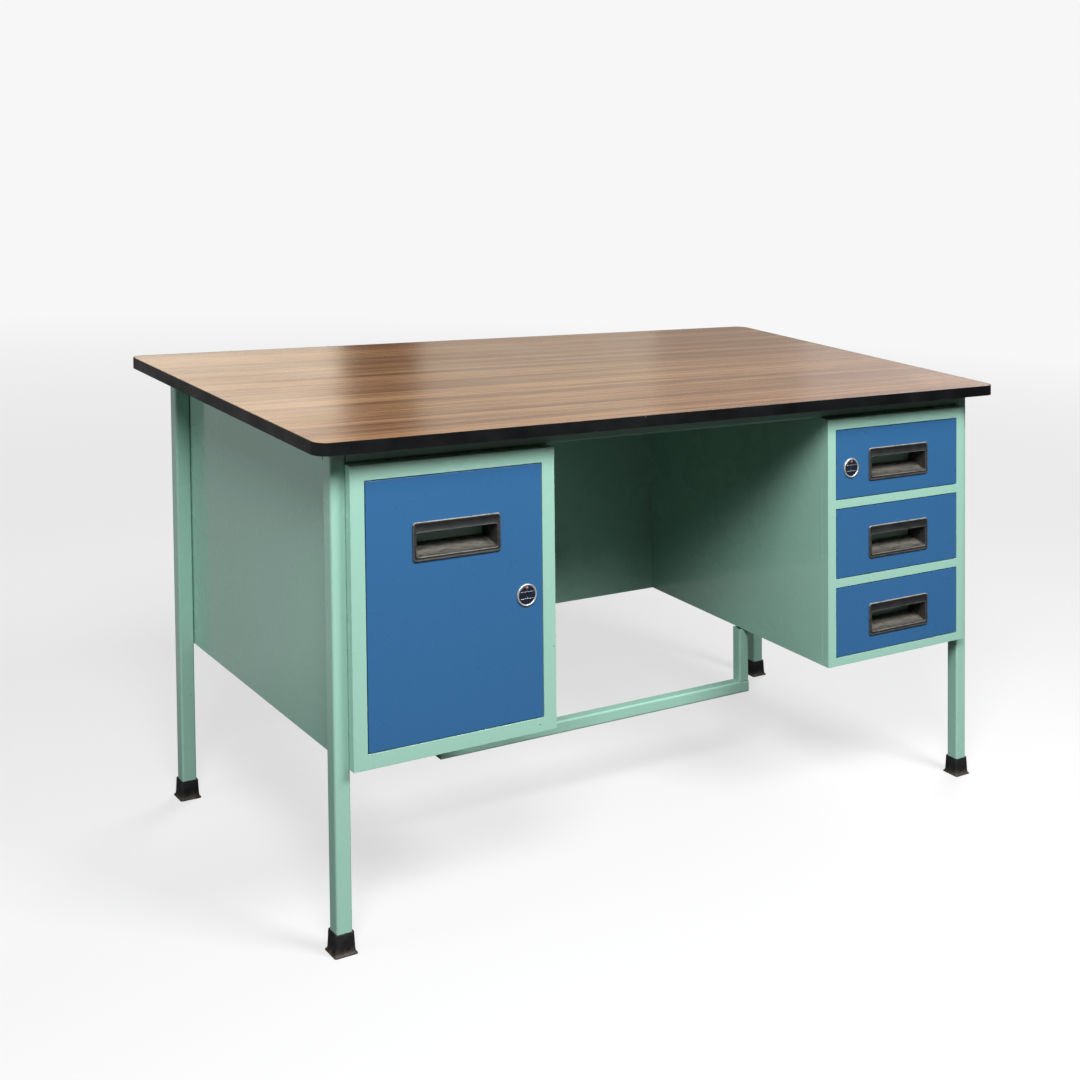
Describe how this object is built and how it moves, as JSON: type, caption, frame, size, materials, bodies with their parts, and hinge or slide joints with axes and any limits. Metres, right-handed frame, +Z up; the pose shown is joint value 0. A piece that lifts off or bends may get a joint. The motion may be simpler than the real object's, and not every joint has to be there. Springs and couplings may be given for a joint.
{
  "type": "teacher desk",
  "caption": "Steel office desk with a laminated top, a cupboard with a hinged door, a stack of sliding drawers, a modesty panel and a tube footrest.",
  "frame": {"origin": "on the floor, under the centre of the table top", "axes": "+Z up, +X along the desk to the drawer side as seen from the front, -Y towards the person who opens the drawers"},
  "size_m": [1.372, 0.762, 0.762],
  "materials": {
    "green_paint": "glossy pale sea-green stoving enamel",
    "blue_paint": "glossy mid-blue stoving enamel",
    "wood_laminate": "satin walnut-figured laminate",
    "core_board": "raw board",
    "black_edge": "satin black edge strip, scuffed",
    "black_foot": "dull black plastic",
    "black_plastic": "satin dark grey moulded plastic",
    "lock_chrome": "polished",
    "lock_face": "glossy dark navy face on a metal plug",
    "zinc_steel": "zinc-plated"
  },
  "bodies": {
    "desk": {"cross_rail_left": "green_paint", "cross_rail_right": "green_paint", "cupboard_back": "green_paint", "cupboard_face": "green_paint", "cupboard_floor": "green_paint", "cupboard_inner_wall": "green_paint", "cupboard_outer_wall": "green_paint", "cupboard_roof": "green_paint", "cupboard_shelf": "green_paint", "drawer_bottom_runner_left": "zinc_steel", "drawer_bottom_runner_right": "zinc_steel", "drawer_face": "green_paint", "drawer_middle_runner_left": "zinc_steel", "drawer_middle_runner_right": "zinc_steel", "drawer_top_runner_left": "zinc_steel", "drawer_top_runner_right": "zinc_steel", "drawers_back": "green_paint", "drawers_floor": "green_paint", "drawers_inner_wall": "green_paint", "drawers_outer_wall": "green_paint", "drawers_roof": "green_paint", "edge_band": "black_edge", "foot_front_left": "black_foot", "foot_front_right": "black_foot", "foot_rear_left": "black_foot", "foot_rear_right": "black_foot", "footrest_bar": "green_paint", "footrest_drop_left": "green_paint", "footrest_drop_right": "green_paint", "leg_front_left": "green_paint", "leg_front_right": "green_paint", "leg_rear_left": "green_paint", "leg_rear_right": "green_paint", "modesty_panel": "green_paint", "rail_back": "green_paint", "rail_front": "green_paint", "rail_left": "green_paint", "rail_right": "green_paint", "top_board": "core_board", "top_laminate": "wood_laminate"},
    "door": {"door_handle": "black_plastic", "door_inner_panel": "green_paint", "door_lock_housing": "lock_chrome", "door_outer_pan": "blue_paint", "door_pin_bottom": "zinc_steel", "door_pin_top": "zinc_steel"},
    "door_lock": {"door_lock_plug": "lock_face", "door_lock_cam": "zinc_steel"},
    "drawer_lock": {"drawer_lock_plug": "lock_face", "drawer_lock_cam": "zinc_steel"},
    "drawer_top": {"drawer_top_front": "blue_paint", "drawer_top_tray": "green_paint", "drawer_top_handle": "black_plastic", "drawer_lock_housing": "lock_chrome"},
    "drawer_middle": {"drawer_middle_front": "blue_paint", "drawer_middle_tray": "green_paint", "drawer_middle_handle": "black_plastic"},
    "drawer_bottom": {"drawer_bottom_front": "blue_paint", "drawer_bottom_tray": "green_paint", "drawer_bottom_handle": "black_plastic"}
  },
  "joints": [
    {"name": "door_hinge", "type": "hinge", "parent": "desk", "child": "door", "pos_m": [-0.587, -0.3385, 0.494], "axis": [0, 0, -1], "range_deg": [0, 110]},
    {"name": "door_lock_turn", "type": "hinge", "parent": "door", "child": "door_lock", "pos_m": [-0.3275, -0.3425, 0.491], "axis": [0, -1, 0], "range_deg": [0, 90]},
    {"name": "drawer_lock_turn", "type": "hinge", "parent": "drawer_top", "child": "drawer_lock", "pos_m": [0.34955, -0.3425, 0.6265], "axis": [0, 1, 0], "range_deg": [0, 90]},
    {"name": "drawer_top_slide", "type": "slide", "parent": "desk", "child": "drawer_top", "axis": [0, -1, 0], "range_m": [0, 0.38]},
    {"name": "drawer_middle_slide", "type": "slide", "parent": "desk", "child": "drawer_middle", "axis": [0, -1, 0], "range_m": [0, 0.38]},
    {"name": "drawer_bottom_slide", "type": "slide", "parent": "desk", "child": "drawer_bottom", "axis": [0, -1, 0], "range_m": [0, 0.38]}
  ]
}
